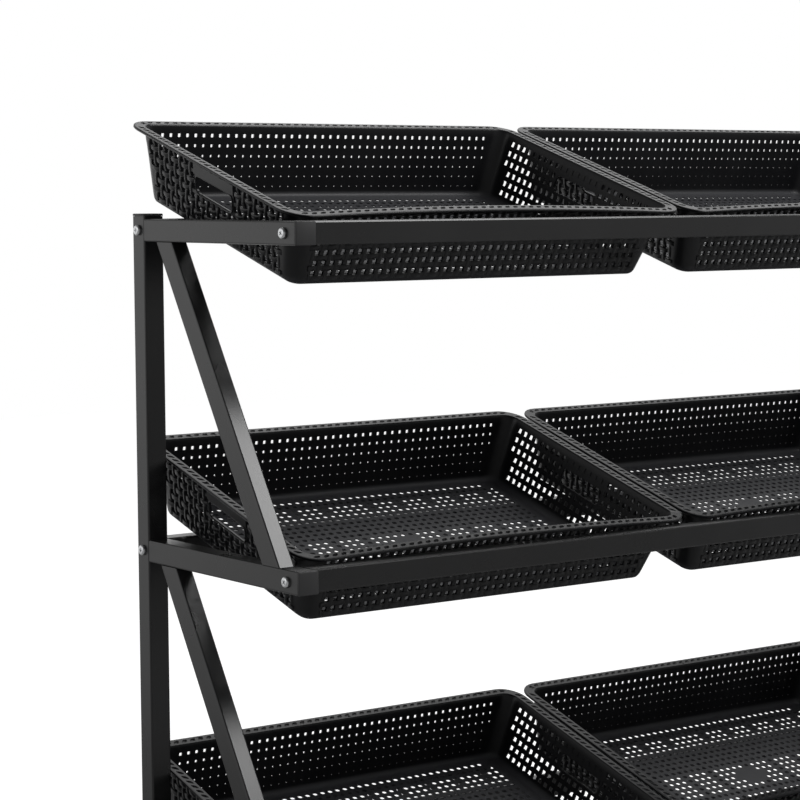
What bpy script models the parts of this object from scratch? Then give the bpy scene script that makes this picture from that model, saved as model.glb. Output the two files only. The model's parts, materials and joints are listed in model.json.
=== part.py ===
from math import atan2, cos, hypot, pi, sin, sqrt

import bmesh
import bpy
from mathutils import Euler, Matrix, Vector

# Rack
tier_rise = 0.360
lowest_arm_top = 0.200
tiers = ("bottom", "middle", "top")
sides = {"left": -1, "right": 1}

# Steel tube
tube_side = 0.025
tube_wall = 0.0015
tube_corner = 0.0018
corner_steps = 2
post_above_arm = 0.003
weld_gap = 0.0003
seat_gap = 0.0003
merge_distance = 0.00001

# Rails
front_rail_setback = 0.010
rail_end_plate = 0.003

# Braces
brace_deep = 0.028
brace_across = 0.020
brace_top_from_back = 0.0663
brace_foot_setback = 0.0534
brace_spare = 0.009

# Plastic plugs and glides
plug_flange = 0.0025
plug_stem = 0.012
plug_edge = 0.0006
glide_thick = 0.008

# Screws
screw_head_radius = 0.006
screw_head_height = 0.0038
screw_crown_share = 0.72
screw_head_side_share = 0.5
screw_radius = 0.003
screw_length = 0.040
screw_steps = 10

# Baskets
basket_width = 0.556
basket_deep = 0.355
basket_height = 0.0854
basket_setback = 0.0313
basket_rest_inset = 0.0966
basket_gap = 0.0015
basket_side_gap = 0.00075
shell = 0.0022
flange = 0.0156
lip = 0.0043
rim_corner = 0.031
rim_corner_steps = 3
floor_inset_side = 0.035
floor_inset_end = 0.027
floor_round = 0.007
pair_shift = {"bottom": 0.0, "middle": 0.0, "top": -0.012}

# Perforation
wall_hole = 0.016
long_wall_column_count = 9
long_wall_end_inset = 0.066
short_wall_column_count = 2
short_wall_end_inset = 0.0495
wall_row_count = 2
wall_row_pitch = 0.027
upper_row_below_rim = 0.028
floor_column_count = 5
floor_row_count = 4
floor_end_inset_across = 0.102
floor_end_inset_along = 0.0845
floor_hole_across = 0.050
floor_hole_along = 0.014

# Hand slots
slot_long = 0.076
slot_high = 0.019
slot_corner = 0.006
slot_below_rim = 0.0315

# Chamfers and rounded edges
chamfer_steps = 1
round_profile = 0.5

# A basket's front lip rests on the front rail and its floor on the rounded edge of the rear one,
# which gives its tilt and the length of the arms that hold both rails
rest_along = basket_deep - basket_rest_inset
rest_drop = basket_height - lip + tube_corner + seat_gap
rest_fall = tube_corner + seat_gap
rest_run = sqrt(rest_along ** 2 + rest_drop ** 2 - rest_fall ** 2)
basket_tilt = atan2(rest_drop, rest_along) - atan2(rest_fall, rest_run)
arm_length = basket_setback + rest_run + tube_side - tube_corner

# Two baskets fill the width between the posts
rack_width = 2 * (basket_width + tube_side + basket_side_gap) + basket_gap

# The rows of holes reach to their insets from the basket's ends
long_wall_pitch = (basket_width - 2 * long_wall_end_inset) / (long_wall_column_count - 1)
short_wall_pitch = (basket_deep - 2 * short_wall_end_inset) / (short_wall_column_count - 1)
floor_pitch_across = (basket_width - 2 * floor_end_inset_across) / (floor_column_count - 1)
floor_pitch_along = (basket_deep - 2 * floor_end_inset_along) / (floor_row_count - 1)

# Worked out from the sizes above
half_rack = rack_width / 2
half_tube = tube_side / 2
half_turn = pi
quarter_turn = pi / 2
brace_foot_from_back = arm_length - brace_foot_setback
basket_front_y = basket_setback - arm_length - lip * sin(basket_tilt)
basket_front_rise = seat_gap + lip * cos(basket_tilt)
rack_back_y = basket_front_y + basket_deep * cos(basket_tilt) + lip * sin(basket_tilt)
middle_y = (rack_back_y - arm_length) / 2


def clear_scene():
    for obj in list(bpy.data.objects):
        bpy.data.objects.remove(obj)


def make_collection(name, parent):
    collection = bpy.data.collections.new(name)
    parent.children.link(collection)
    return collection


def make_material(name, colour, roughness, metallic):
    material = bpy.data.materials.new(name)
    material.use_nodes = True
    surface = material.node_tree.nodes["Principled BSDF"]
    surface.inputs["Base Color"].default_value = colour
    surface.inputs["Roughness"].default_value = roughness
    surface.inputs["Metallic"].default_value = metallic
    return material


def frame_steel():
    return make_material("black_powder_coat", (0.018, 0.018, 0.019, 1), 0.35, 0.0)


def basket_plastic():
    return make_material("black_moulded_plastic", (0.012, 0.012, 0.013, 1), 0.45, 0.0)


def plug_plastic():
    return make_material("dark_plug_plastic", (0.028, 0.028, 0.030, 1), 0.55, 0.0)


def screw_zinc():
    return make_material("bright_zinc", (0.78, 0.79, 0.80, 1), 0.25, 1.0)


def new_object(name, data, collection):
    obj = bpy.data.objects.new(name, data)
    collection.objects.link(obj)
    return obj


def mesh_object(name, bm, collection):
    mesh = bpy.data.meshes.new(name)
    bm.to_mesh(mesh)
    bm.free()
    return new_object(name, mesh, collection)


def finish(obj, material, place, turn=(0, 0, 0)):
    obj.data.materials.clear()
    obj.data.materials.append(material)
    obj.location = place
    obj.rotation_euler = turn
    return obj


def as_cutter(obj, place=(0, 0, 0), turn=(0, 0, 0)):
    obj.hide_render = True
    obj.display_type = "WIRE"
    obj.location = place
    obj.rotation_euler = turn
    return obj


def cut(obj, cutter):
    boolean = obj.modifiers.new("cut", "BOOLEAN")
    boolean.operation = "DIFFERENCE"
    boolean.solver = "EXACT"
    boolean.object = cutter


def cut_all(obj, cutters):
    boolean = obj.modifiers.new("cuts", "BOOLEAN")
    boolean.operation = "DIFFERENCE"
    boolean.solver = "EXACT"
    boolean.operand_type = "COLLECTION"
    boolean.collection = cutters


def made_mesh(obj):
    """The object's mesh with its modifiers, or its curve, worked out and its doubled points merged."""
    bpy.context.view_layer.update()
    graph = bpy.context.evaluated_depsgraph_get()
    mesh = bpy.data.meshes.new_from_object(obj.evaluated_get(graph))
    bm = bmesh.new()
    bm.from_mesh(mesh)
    bmesh.ops.remove_doubles(bm, verts=bm.verts, dist=merge_distance)
    bm.to_mesh(mesh)
    bm.free()
    return mesh


def draw_outline(curve, points):
    spline = curve.splines.new("POLY")
    spline.points.add(len(points) - 1)
    for point, (x, y) in zip(spline.points, points):
        point.co = (x, y, 0, 1)
    spline.use_cyclic_u = True


def rounded_square(across, deep, corner):
    """The outline of an oblong with rounded corners, as points round its middle."""
    centres = (
        (across / 2 - corner, deep / 2 - corner),
        (corner - across / 2, deep / 2 - corner),
        (corner - across / 2, corner - deep / 2),
        (across / 2 - corner, corner - deep / 2),
    )
    points = []
    for quarter, (x, y) in enumerate(centres):
        for step in range(corner_steps + 1):
            angle = quarter_turn * (quarter + step / corner_steps)
            points.append((x + corner * cos(angle), y + corner * sin(angle)))
    return points


def square(across, deep):
    half_across = across / 2
    half_deep = deep / 2
    return [
        (half_across, half_deep),
        (-half_across, half_deep),
        (-half_across, -half_deep),
        (half_across, -half_deep),
    ]


def curve_to_mesh(curve, collection):
    drawn = new_object(curve.name, curve, collection)
    mesh = made_mesh(drawn)
    bpy.data.objects.remove(drawn)
    return mesh


def tube(name, across, deep, length, collection, wall=tube_wall):
    """A rounded square tube along its own Z, or a solid bar if the wall is zero."""
    curve = bpy.data.curves.new(name, "CURVE")
    curve.dimensions = "2D"
    curve.fill_mode = "BOTH"
    curve.extrude = length / 2
    draw_outline(curve, rounded_square(across, deep, tube_corner))
    if wall:
        draw_outline(curve, square(across - 2 * wall, deep - 2 * wall))
    return new_object(name, curve_to_mesh(curve, collection), collection)


def height_of(face):
    return face.calc_center_median().z


def box(name, size, collection):
    bm = bmesh.new()
    bmesh.ops.create_cube(bm, size=1)
    bmesh.ops.scale(bm, vec=size, verts=bm.verts)
    return mesh_object(name, bm, collection)


def arm_top(tier):
    return lowest_arm_top + tier_rise * tiers.index(tier)


def rack_y(from_back):
    """The Y of a point that lies this far in front of the posts' back faces."""
    return -from_back - middle_y


def bevel(bm, edges, offset, steps):
    bmesh.ops.bevel(
        bm,
        geom=edges,
        offset=offset,
        offset_type="OFFSET",
        segments=steps,
        profile=round_profile,
        affect="EDGES",
    )


# Where each tier's screws lie, as the distance in front of the posts' backs and the height
def screw_lines():
    lines = {}
    for tier in tiers:
        height = arm_top(tier) - half_tube
        lines["front_" + tier] = (arm_length - front_rail_setback - half_tube, height)
        lines["rear_" + tier] = (half_tube, height)
    return lines


def make_holes(cutters):
    """A collection of bolt holes, which run across the whole rack, for each rail and the posts."""
    holes = {"posts": make_collection("post_holes", cutters)}
    off_axis = Matrix.Rotation(quarter_turn / screw_steps, 3, "Z")
    for place, (from_back, height) in screw_lines().items():
        bm = bmesh.new()
        bmesh.ops.create_cone(
            bm,
            cap_ends=True,
            segments=screw_steps,
            radius1=screw_radius + seat_gap,
            radius2=screw_radius + seat_gap,
            depth=rack_width + tube_side,
        )
        bmesh.ops.rotate(bm, matrix=off_axis, verts=bm.verts)
        holes[place] = make_collection("hole_" + place, cutters)
        hole = mesh_object("bolt_hole_" + place, bm, holes[place])
        as_cutter(hole, (0, rack_y(from_back), height), (0, quarter_turn, 0))
        if place.startswith("rear"):
            holes["posts"].objects.link(hole)
    return holes


def make_posts(parts, steel, holes):
    top = arm_top("top") + post_above_arm
    foot = glide_thick + weld_gap
    for side, sign in sides.items():
        post = tube("post_" + side, tube_side, tube_side, top - foot, parts)
        x = sign * (half_rack - half_tube)
        finish(post, steel, (x, rack_y(half_tube), (top + foot) / 2))
        cut_all(post, holes["posts"])


def make_arms(parts, steel, holes):
    back = tube_side + weld_gap
    front = arm_length - plug_flange - weld_gap
    for side, sign in sides.items():
        for tier in tiers:
            name = "arm_" + tier + "_" + side
            arm = tube(name, tube_side, tube_side, front - back, parts)
            x = sign * (half_rack - half_tube)
            height = arm_top(tier) - half_tube
            finish(arm, steel, (x, rack_y((front + back) / 2), height), (quarter_turn, 0, 0))
            cut_all(arm, holes["front_" + tier])


def make_legs(parts, steel):
    top = lowest_arm_top - tube_side - weld_gap
    foot = glide_thick + weld_gap
    from_back = arm_length - plug_flange - weld_gap - half_tube
    for side, sign in sides.items():
        leg = tube("front_leg_" + side, tube_side, tube_side, top - foot, parts)
        x = sign * (half_rack - half_tube)
        finish(leg, steel, (x, rack_y(from_back), (top + foot) / 2))


# Each brace is sawn level where it meets the arms above and below it
def make_braces(parts, cutters, steel):
    saws = {}
    for tier in tiers:
        saw = box(
            "brace_saw_" + tier,
            (rack_width + tube_side, arm_length, tube_side + 2 * weld_gap),
            cutters,
        )
        saws[tier] = as_cutter(saw, (0, rack_y(arm_length / 2), arm_top(tier) - half_tube))
    fall = tier_rise - tube_side
    run = brace_foot_from_back - brace_top_from_back
    lean = atan2(run, fall)
    length = hypot(run, fall) + 2 * brace_spare
    for side, sign in sides.items():
        for lower, upper in zip(tiers, tiers[1:]):
            name = "brace_" + lower + "_" + side
            brace = tube(name, brace_across, brace_deep, length, parts)
            x = sign * (half_rack - brace_across / 2)
            from_back = (brace_foot_from_back + brace_top_from_back) / 2
            height = arm_top(lower) + fall / 2
            finish(brace, steel, (x, rack_y(from_back), height), (-lean, 0, 0))
            cut(brace, saws[lower])
            cut(brace, saws[upper])


# A rail is a tube closed by a drilled plate at each end
def make_rails(parts, cutters, steel, holes):
    length = rack_width - 2 * (tube_side + weld_gap)
    hollow = tube_side - 2 * tube_wall
    for place, (from_back, height) in screw_lines().items():
        rail = tube("rail_" + place, tube_side, tube_side, length, parts, wall=0)
        centre = (0, rack_y(from_back), height)
        finish(rail, steel, centre, (0, quarter_turn, 0))
        core = box("rail_core_" + place, (length - 2 * rail_end_plate, hollow, hollow), cutters)
        cut(rail, as_cutter(core, centre))
        cut_all(rail, holes[place])


def plug(name, thick, collection):
    """A cap with a stem along its own -Z. Its origin is the middle of the gap under the cap."""
    bm = bmesh.new()
    bmesh.ops.create_cube(bm, size=1)
    bmesh.ops.scale(bm, vec=(tube_side, tube_side, thick), verts=bm.verts)
    bmesh.ops.translate(bm, vec=(0, 0, (thick + weld_gap) / 2), verts=bm.verts)
    under = min(bm.faces, key=height_of)
    wall = tube_wall + seat_gap
    bmesh.ops.inset_region(bm, faces=[under], thickness=wall, use_even_offset=True)
    stem = bmesh.ops.extrude_face_region(bm, geom=[under])["geom"]
    bmesh.ops.delete(bm, geom=[under], context="FACES_ONLY")
    stem_points = [item for item in stem if isinstance(item, bmesh.types.BMVert)]
    bmesh.ops.translate(bm, vec=(0, 0, -plug_stem), verts=stem_points)
    outer = [edge for edge in bm.edges if min(vert.co.z for vert in edge.verts) > thick]
    bevel(bm, outer, plug_edge, chamfer_steps)
    bmesh.ops.recalc_face_normals(bm, faces=bm.faces)
    return mesh_object(name, bm, collection)


def make_plugs(parts, plastic):
    post_top = arm_top("top") + post_above_arm
    arm_end = arm_length - plug_flange - weld_gap / 2
    for side, sign in sides.items():
        x = sign * (half_rack - half_tube)
        cap = plug("post_plug_" + side, plug_flange, parts)
        finish(cap, plastic, (x, rack_y(half_tube), post_top + weld_gap / 2))
        for tier in tiers:
            cap = plug("arm_plug_" + tier + "_" + side, plug_flange, parts)
            place = (x, rack_y(arm_end), arm_top(tier) - half_tube)
            finish(cap, plastic, place, (quarter_turn, 0, 0))


def make_glides(parts, plastic):
    height = glide_thick + weld_gap / 2
    feet = {
        "post": half_tube,
        "front": arm_length - plug_flange - weld_gap - half_tube,
    }
    for side, sign in sides.items():
        for foot, from_back in feet.items():
            glide = plug("glide_" + foot + "_" + side, glide_thick, parts)
            x = sign * (half_rack - half_tube)
            finish(glide, plastic, (x, rack_y(from_back), height), (half_turn, 0, 0))


def pan_screw(name, collection):
    """A pan head screw along its own -Z. Its origin is under the head."""
    profile = (
        (0, screw_head_height),
        (screw_head_radius * screw_crown_share, screw_head_height),
        (screw_head_radius, screw_head_height * screw_head_side_share),
        (screw_head_radius, seat_gap),
        (screw_radius, seat_gap),
        (screw_radius, -screw_length),
        (0, -screw_length),
    )
    bm = bmesh.new()
    points = [bm.verts.new((x, 0, z)) for x, z in profile]
    for first, second in zip(points, points[1:]):
        bm.edges.new((first, second))
    obj = mesh_object(name, bm, collection)
    turned = obj.modifiers.new("turned", "SCREW")
    turned.steps = screw_steps
    turned.render_steps = screw_steps
    turned.use_merge_vertices = True
    turned.merge_threshold = merge_distance
    turned.use_smooth_shade = True
    return obj


def make_screws(parts, zinc):
    for side, sign in sides.items():
        for place, (from_back, height) in screw_lines().items():
            screw = pan_screw("screw_" + place + "_" + side, parts)
            spot = (sign * half_rack, rack_y(from_back), height)
            finish(screw, zinc, spot, (0, sign * quarter_turn, 0))


def hole_grid(name, size, collection, counts, pitches, start):
    """Evenly spaced boxes that pass through the basket. The start is the first one's middle."""
    obj = box(name, size, collection)
    obj.data.transform(Matrix.Translation(start))
    for count, pitch in zip(counts, pitches):
        array = obj.modifiers.new("row", "ARRAY")
        array.count = count
        array.use_relative_offset = False
        array.use_constant_offset = True
        array.constant_offset_displace = pitch
    return as_cutter(obj)


def first_of(count, pitch):
    return -pitch * (count - 1) / 2


# The holes of the four walls and of the floor, in the basket's own axes
def make_perforation(cutters):
    lower_row = -upper_row_below_rim - wall_row_pitch * (wall_row_count - 1)
    long_walls = hole_grid(
        "long_wall_holes",
        (wall_hole, basket_deep, wall_hole),
        cutters,
        (long_wall_column_count, wall_row_count),
        ((long_wall_pitch, 0, 0), (0, 0, wall_row_pitch)),
        (first_of(long_wall_column_count, long_wall_pitch), 0, lower_row),
    )
    short_walls = hole_grid(
        "short_wall_holes",
        (basket_width, wall_hole, wall_hole),
        cutters,
        (short_wall_column_count, wall_row_count),
        ((0, short_wall_pitch, 0), (0, 0, wall_row_pitch)),
        (0, first_of(short_wall_column_count, short_wall_pitch), lower_row),
    )
    floor = hole_grid(
        "floor_holes",
        (floor_hole_across, floor_hole_along, floor_round),
        cutters,
        (floor_column_count, floor_row_count),
        ((floor_pitch_across, 0, 0), (0, floor_pitch_along, 0)),
        (
            first_of(floor_column_count, floor_pitch_across),
            first_of(floor_row_count, floor_pitch_along),
            -basket_height,
        ),
    )
    return long_walls, short_walls, floor


def make_slot(cutters):
    """A long hole with rounded corners, through both short walls."""
    curve = bpy.data.curves.new("hand_slot", "CURVE")
    curve.dimensions = "2D"
    curve.fill_mode = "BOTH"
    curve.extrude = basket_width
    draw_outline(curve, rounded_square(slot_high, slot_long, slot_corner))
    slot = new_object("hand_slot", curve_to_mesh(curve, cutters), cutters)
    return as_cutter(slot, (0, 0, -slot_below_rim), (0, quarter_turn, 0))


def push_out(vert, distance):
    """Moves a rim point outwards, square to its straight side or round its corner."""
    straight_x = basket_width / 2 - rim_corner
    straight_y = basket_deep / 2 - rim_corner
    near_x = max(-straight_x, min(straight_x, vert.co.x))
    near_y = max(-straight_y, min(straight_y, vert.co.y))
    way = Vector((vert.co.x - near_x, vert.co.y - near_y, 0)).normalized()
    vert.co += way * distance


# The inside skin of the tray: a tapered box with rounded corners, then its flange and lip
def tray_skin(collection):
    inside_deep = basket_height - shell
    bm = bmesh.new()
    bmesh.ops.create_cube(bm, size=1)
    top_size = (basket_width - 2 * flange, basket_deep - 2 * flange, inside_deep)
    bmesh.ops.scale(bm, vec=top_size, verts=bm.verts)
    bmesh.ops.translate(bm, vec=(0, 0, -inside_deep / 2), verts=bm.verts)
    bmesh.ops.delete(bm, geom=[max(bm.faces, key=height_of)], context="FACES_ONLY")
    floor = min(bm.faces, key=height_of)
    taper = (
        (basket_width - 2 * floor_inset_side) / top_size[0],
        (basket_deep - 2 * floor_inset_end) / top_size[1],
        1,
    )
    bmesh.ops.scale(bm, vec=taper, verts=floor.verts)
    uprights = [
        edge for edge in bm.edges if abs(edge.verts[0].co.z - edge.verts[1].co.z) > floor_round
    ]
    bevel(bm, uprights, rim_corner - flange, rim_corner_steps)
    floor = min(bm.faces, key=height_of)
    bevel(bm, list(floor.edges), floor_round, chamfer_steps)
    for reach, drop in ((flange, 0), (0, lip)):
        rim = [edge for edge in bm.edges if edge.is_boundary]
        grown = bmesh.ops.extrude_edge_only(bm, edges=rim)["geom"]
        for vert in [item for item in grown if isinstance(item, bmesh.types.BMVert)]:
            if reach:
                push_out(vert, reach)
            vert.co.z -= drop
    bmesh.ops.recalc_face_normals(bm, faces=bm.faces)
    if min(bm.faces, key=height_of).normal.z < 0:
        bmesh.ops.reverse_faces(bm, faces=bm.faces)
    return mesh_object("basket_form", bm, collection)


def make_baskets(parts, cutters, plastic):
    form = tray_skin(cutters)
    walls = form.modifiers.new("walls", "SOLIDIFY")
    walls.thickness = shell
    walls.offset = -1
    walls.use_even_offset = True
    for cutter in make_perforation(cutters):
        cut(form, cutter)
    cut(form, make_slot(cutters))
    mesh = made_mesh(form)
    bpy.data.objects.remove(form)
    turn = Euler((basket_tilt, 0, 0))
    middle = Vector((0, basket_deep / 2, 0))
    middle.rotate(turn)
    for tier in tiers:
        for side, sign in sides.items():
            basket = new_object("basket_" + tier + "_" + side, mesh, parts)
            x = pair_shift[tier] + sign * (basket_width + basket_gap) / 2
            place = Vector((x, basket_front_y - middle_y, arm_top(tier) + basket_front_rise))
            finish(basket, plastic, place + middle, turn)


def build():
    clear_scene()
    parts = make_collection("shelving_rack", bpy.context.scene.collection)
    cutters = make_collection("cutters", bpy.context.scene.collection)
    steel = frame_steel()
    holes = make_holes(cutters)
    make_posts(parts, steel, holes)
    make_arms(parts, steel, holes)
    make_legs(parts, steel)
    make_braces(parts, cutters, steel)
    make_rails(parts, cutters, steel, holes)
    plastic = plug_plastic()
    make_plugs(parts, plastic)
    make_glides(parts, plastic)
    make_screws(parts, screw_zinc())
    make_baskets(parts, cutters, basket_plastic())


build()
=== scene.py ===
import json
import math

import bpy
from mathutils import Matrix, Vector


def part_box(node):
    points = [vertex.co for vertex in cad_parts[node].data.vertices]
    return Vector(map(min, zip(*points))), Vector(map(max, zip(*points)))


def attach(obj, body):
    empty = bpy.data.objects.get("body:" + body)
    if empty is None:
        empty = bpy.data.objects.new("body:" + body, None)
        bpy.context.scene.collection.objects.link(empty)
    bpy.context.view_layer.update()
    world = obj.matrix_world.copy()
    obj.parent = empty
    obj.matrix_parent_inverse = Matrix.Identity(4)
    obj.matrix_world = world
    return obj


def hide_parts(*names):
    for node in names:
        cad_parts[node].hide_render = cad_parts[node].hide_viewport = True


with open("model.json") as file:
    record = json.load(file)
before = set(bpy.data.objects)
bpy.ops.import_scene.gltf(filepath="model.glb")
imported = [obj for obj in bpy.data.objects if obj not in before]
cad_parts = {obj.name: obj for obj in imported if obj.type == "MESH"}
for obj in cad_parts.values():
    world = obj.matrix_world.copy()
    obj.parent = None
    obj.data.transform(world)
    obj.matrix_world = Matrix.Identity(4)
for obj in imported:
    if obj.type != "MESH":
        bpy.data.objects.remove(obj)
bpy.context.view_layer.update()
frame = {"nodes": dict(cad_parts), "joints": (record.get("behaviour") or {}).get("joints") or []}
print("frame loaded:", len(frame["nodes"]), "nodes")

hair = 0.0001      # a tolerance where points and edges are picked by their place


# Shader maths. A Wire is one output socket, and an expression on wires adds its Math nodes

class Wire:
    def __init__(self, shading, socket):
        self.shading = shading
        self.socket = socket

    def out(self, name):          # another output of the same node
        return Wire(self.shading, self.socket.node.outputs[name])

    def math(self, operation, first, second):
        return self.shading.node("Math", {"operation": operation}, {0: first, 1: second})

    def __add__(self, other):
        return self.math("ADD", self, other)

    def __sub__(self, other):
        return self.math("SUBTRACT", self, other)

    def __mul__(self, other):
        return self.math("MULTIPLY", self, other)

    def __radd__(self, other):
        return self.math("ADD", other, self)

    def __rsub__(self, other):
        return self.math("SUBTRACT", other, self)

    def __rmul__(self, other):
        return self.math("MULTIPLY", other, self)

    def atMost(self, limit):
        return self.math("MINIMUM", self, limit)

    def atLeast(self, limit):
        return self.math("MAXIMUM", self, limit)

    def above(self, low, high):          # 0 below low, 1 over high, smooth between
        return self.shading.node("MapRange", {"interpolation_type": "SMOOTHSTEP"},
                                 {"Value": self, "From Min": low, "From Max": high}, "Result")


# A node tree. Its nodes all come from one method, with their type, settings and sockets

class Shading:
    def __init__(self, tree):
        self.tree = tree

    def plug(self, socket, value):
        if isinstance(value, Wire):
            self.tree.links.new(value.socket, socket)
        else:
            socket.default_value = value

    def node(self, kind, settings=None, sockets=None, output=0):
        made = self.tree.nodes.new("ShaderNode" + kind)
        for key, value in (settings or {}).items():
            setattr(made, key, value)
        for key, value in (sockets or {}).items():
            self.plug(made.inputs[key], value)
        return Wire(self, made.outputs[output])


class Finish(Shading):
    def __init__(self, name):
        self.material = bpy.data.materials.new(name)
        self.material.use_nodes = True
        super().__init__(self.material.node_tree)

    def place(self):
        return self.node("TexCoord", output="Object")

    def noise(self, scale, detail, roughness=0.5):
        return self.node("TexNoise", None, {"Vector": self.place(), "Scale": scale,
                                            "Detail": detail, "Roughness": roughness}, "Fac")

    def mix(self, factor, first, second):          # of colours, which have these socket numbers
        return self.node("Mix", {"data_type": "RGBA"}, {0: factor, 6: first, 7: second}, 2)

    def bump(self, height, distance, strength):
        return self.node("Bump", None, {"Height": height, "Distance": distance,
                                        "Strength": strength})

    def set(self, sockets):
        shader = self.tree.nodes["Principled BSDF"]
        for key, value in sockets.items():
            self.plug(shader.inputs[key], value)


# Finishes. Patches and grain are noises, given by scale and detail

powderCoat = {
    "colour": (0.010, 0.010, 0.0103, 1), "other": (0.014, 0.014, 0.0144, 1),
    "patches": (9, 3), "otherOver": (0.45, 0.75), "roughness": 0.24, "mottle": 0.08,
    "grain": (420, 2), "grainDepth": 0.00004, "grainStrength": 0.5,
}
mouldedPlastic = {
    "colour": (0.0050, 0.0051, 0.0060, 1), "other": (0.0082, 0.0084, 0.0096, 1),
    "patches": (14, 4), "otherOver": (0.4, 0.8), "roughness": 0.28, "mottle": 0.10,
    "grain": (1500, 3, 0.7), "grainDepth": 0.00006, "grainStrength": 0.6,
    "constant": {"Specular IOR Level": 0.3},
    "floor": (0.049, 0.0495, 0.054, 1), "floorRoughness": 0.20,      # paler, a painted sheen of light on the floor, and duller
}
capPlastic = {
    "colour": (0.024, 0.024, 0.025, 1), "other": (0.034, 0.034, 0.035, 1),
    "patches": (60, 3), "roughness": 0.45, "mottle": 0.1,
    "grain": (1200, 3), "grainDepth": 0.00005, "grainStrength": 0.6,
}
brightZinc = {
    "colour": (0.74, 0.75, 0.76, 1), "other": (0.55, 0.56, 0.57, 1),
    "patches": (400, 3), "roughness": 0.22, "mottle": 0.15,
    "grain": (900, 2), "grainDepth": 0.00003, "grainStrength": 0.4,
    "constant": {"Metallic": 1.0},
}


# Two colours in soft patches, which vary the roughness too, over a fine grain

def makeFinish(name, look):
    finish = Finish(name)
    patches = finish.noise(*look["patches"])
    share = patches.above(*look["otherOver"]) if "otherOver" in look else patches
    colour = finish.mix(share, look["colour"], look["other"])
    roughness = look["roughness"] + look["mottle"] * patches
    # The basket's floor is painted paler, a painted sheen of light on it, and made duller
    if "floor" in look:
        onFloor = finish.node("Attribute", {"attribute_name": "floorShare"}, output="Fac")
        colour = finish.mix(onFloor, colour, look["floor"])
        roughness = roughness + look["floorRoughness"] * onFloor
    grain = finish.noise(*look["grain"])
    finish.set({
        **look.get("constant", {}),
        "Base Color": colour,
        "Roughness": roughness,
        "Normal": finish.bump(grain, look["grainDepth"], look["grainStrength"]),
    })
    return finish.material


steelFinish = makeFinish("blackPowderCoat", powderCoat)
basketFinish = makeFinish("blackMouldedPlastic", mouldedPlastic)
capFinish = makeFinish("darkCapPlastic", capPlastic)
zincFinish = makeFinish("brightZinc", brightZinc)
print("finishes made")


# Modelling helpers

def pickNone():
    bpy.ops.object.select_all(action="DESELECT")


def pick(*objs):
    pickNone()
    for obj in objs:
        obj.select_set(True)
    bpy.context.view_layer.objects.active = objs[0]


def apply(obj, kind, **settings):
    pick(obj)
    modifier = obj.modifiers.new(kind.lower(), kind)
    for key, value in settings.items():
        setattr(modifier, key, value)
    bpy.ops.object.modifier_apply(modifier=modifier.name)


def applyPlace(obj):
    pick(obj)
    bpy.ops.object.transform_apply(location=True, rotation=True, scale=True)


def repeat(obj, count, step):
    apply(obj, "ARRAY", count=count, use_relative_offset=False, use_constant_offset=True,
          constant_offset_displace=step)


def cutWith(obj, cutter):
    apply(obj, "BOOLEAN", operation="DIFFERENCE", solver="EXACT", object=cutter)
    bpy.data.objects.remove(cutter)


def joined(name, objs):
    pick(*objs)
    if len(objs) > 1:
        bpy.ops.object.join()
    obj = bpy.context.object
    obj.name = name
    obj.data.name = name
    return obj


def copyTo(model, name, place):
    copy = model.copy()
    copy.data = model.data.copy()
    copy.name = name
    copy.data.name = name
    bpy.context.scene.collection.objects.link(copy)
    copy.matrix_world = place
    applyPlace(copy)
    return copy


# Into edit mode, with only the faces, edges or points that pass the test

def pickParts(obj, kind, test):
    pick(obj)
    bpy.ops.object.mode_set(mode="EDIT")
    bpy.ops.mesh.select_all(action="DESELECT")
    bpy.ops.mesh.select_mode(type=kind)
    bpy.ops.object.mode_set(mode="OBJECT")
    mesh = obj.data
    parts = {"FACE": mesh.polygons, "EDGE": mesh.edges, "VERT": mesh.vertices}[kind]
    for part in parts:
        part.select = test(part)
    bpy.ops.object.mode_set(mode="EDIT")


def leave():
    bpy.ops.object.mode_set(mode="OBJECT")


def bevelEdges(obj, test, offset, segments, **settings):
    pickParts(obj, "EDGE", test)
    bpy.ops.mesh.bevel(offset=offset, segments=segments, **settings)
    leave()


def edgeHeights(obj, edge):
    return [obj.data.vertices[index].co.z for index in edge.vertices]


# Of an array's copies, with so many points each, deletes those whose middle passes the test

def deleteCopies(obj, each, test):
    verts = obj.data.vertices
    doomed = set()
    for start in range(0, len(verts), each):
        copy = range(start, start + each)
        if test(sum((verts[index].co for index in copy), Vector()) / each):
            doomed.update(copy)
    pickParts(obj, "VERT", lambda vert: vert.index in doomed)
    bpy.ops.mesh.delete(type="VERT")
    leave()


def addCube(name, size, middle=(0, 0, 0)):
    pickNone()
    bpy.ops.mesh.primitive_cube_add(size=1, location=middle)
    cube = bpy.context.object
    cube.name = name
    cube.scale = size
    applyPlace(cube)
    return cube


def addCylinder(name, steps, radius, length, middle):
    pickNone()
    bpy.ops.mesh.primitive_cylinder_add(vertices=steps, radius=radius, depth=length,
                                        location=middle)
    cylinder = bpy.context.object
    cylinder.name = name
    applyPlace(cylinder)
    return cylinder


def makeBar(name, size, middle, edge):
    bar = addCube(name, size, middle)
    bevelEdges(bar, lambda part: True, edge, 1)
    return bar


def closedCurve(name, spots):
    line = bpy.data.curves.new(name, "CURVE")
    line.dimensions = "3D"
    spline = line.splines.new("POLY")
    spline.points.add(len(spots) - 1)
    for point, spot in zip(spline.points, spots):
        point.co = (*spot, 1)
    spline.use_cyclic_u = True
    obj = bpy.data.objects.new(name, line)
    bpy.context.scene.collection.objects.link(obj)
    return obj


def towards(angle):
    return Vector((math.cos(angle), math.sin(angle), 0))


def quarterTurn(quarter, size=3):
    return Matrix.Rotation(quarter * math.pi / 2, size, "Z")


def smoothBelow(degrees):
    bpy.ops.object.shade_smooth_by_angle(angle=math.radians(degrees))


def setFinish(obj, material):
    obj.data.materials.clear()
    obj.data.materials.append(material)


# Basket. Its own axes: x across, y from the front rim to the back, z = 0 on the rim.
# The end walls are the front and the back, and quarters count anticlockwise from the front

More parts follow.
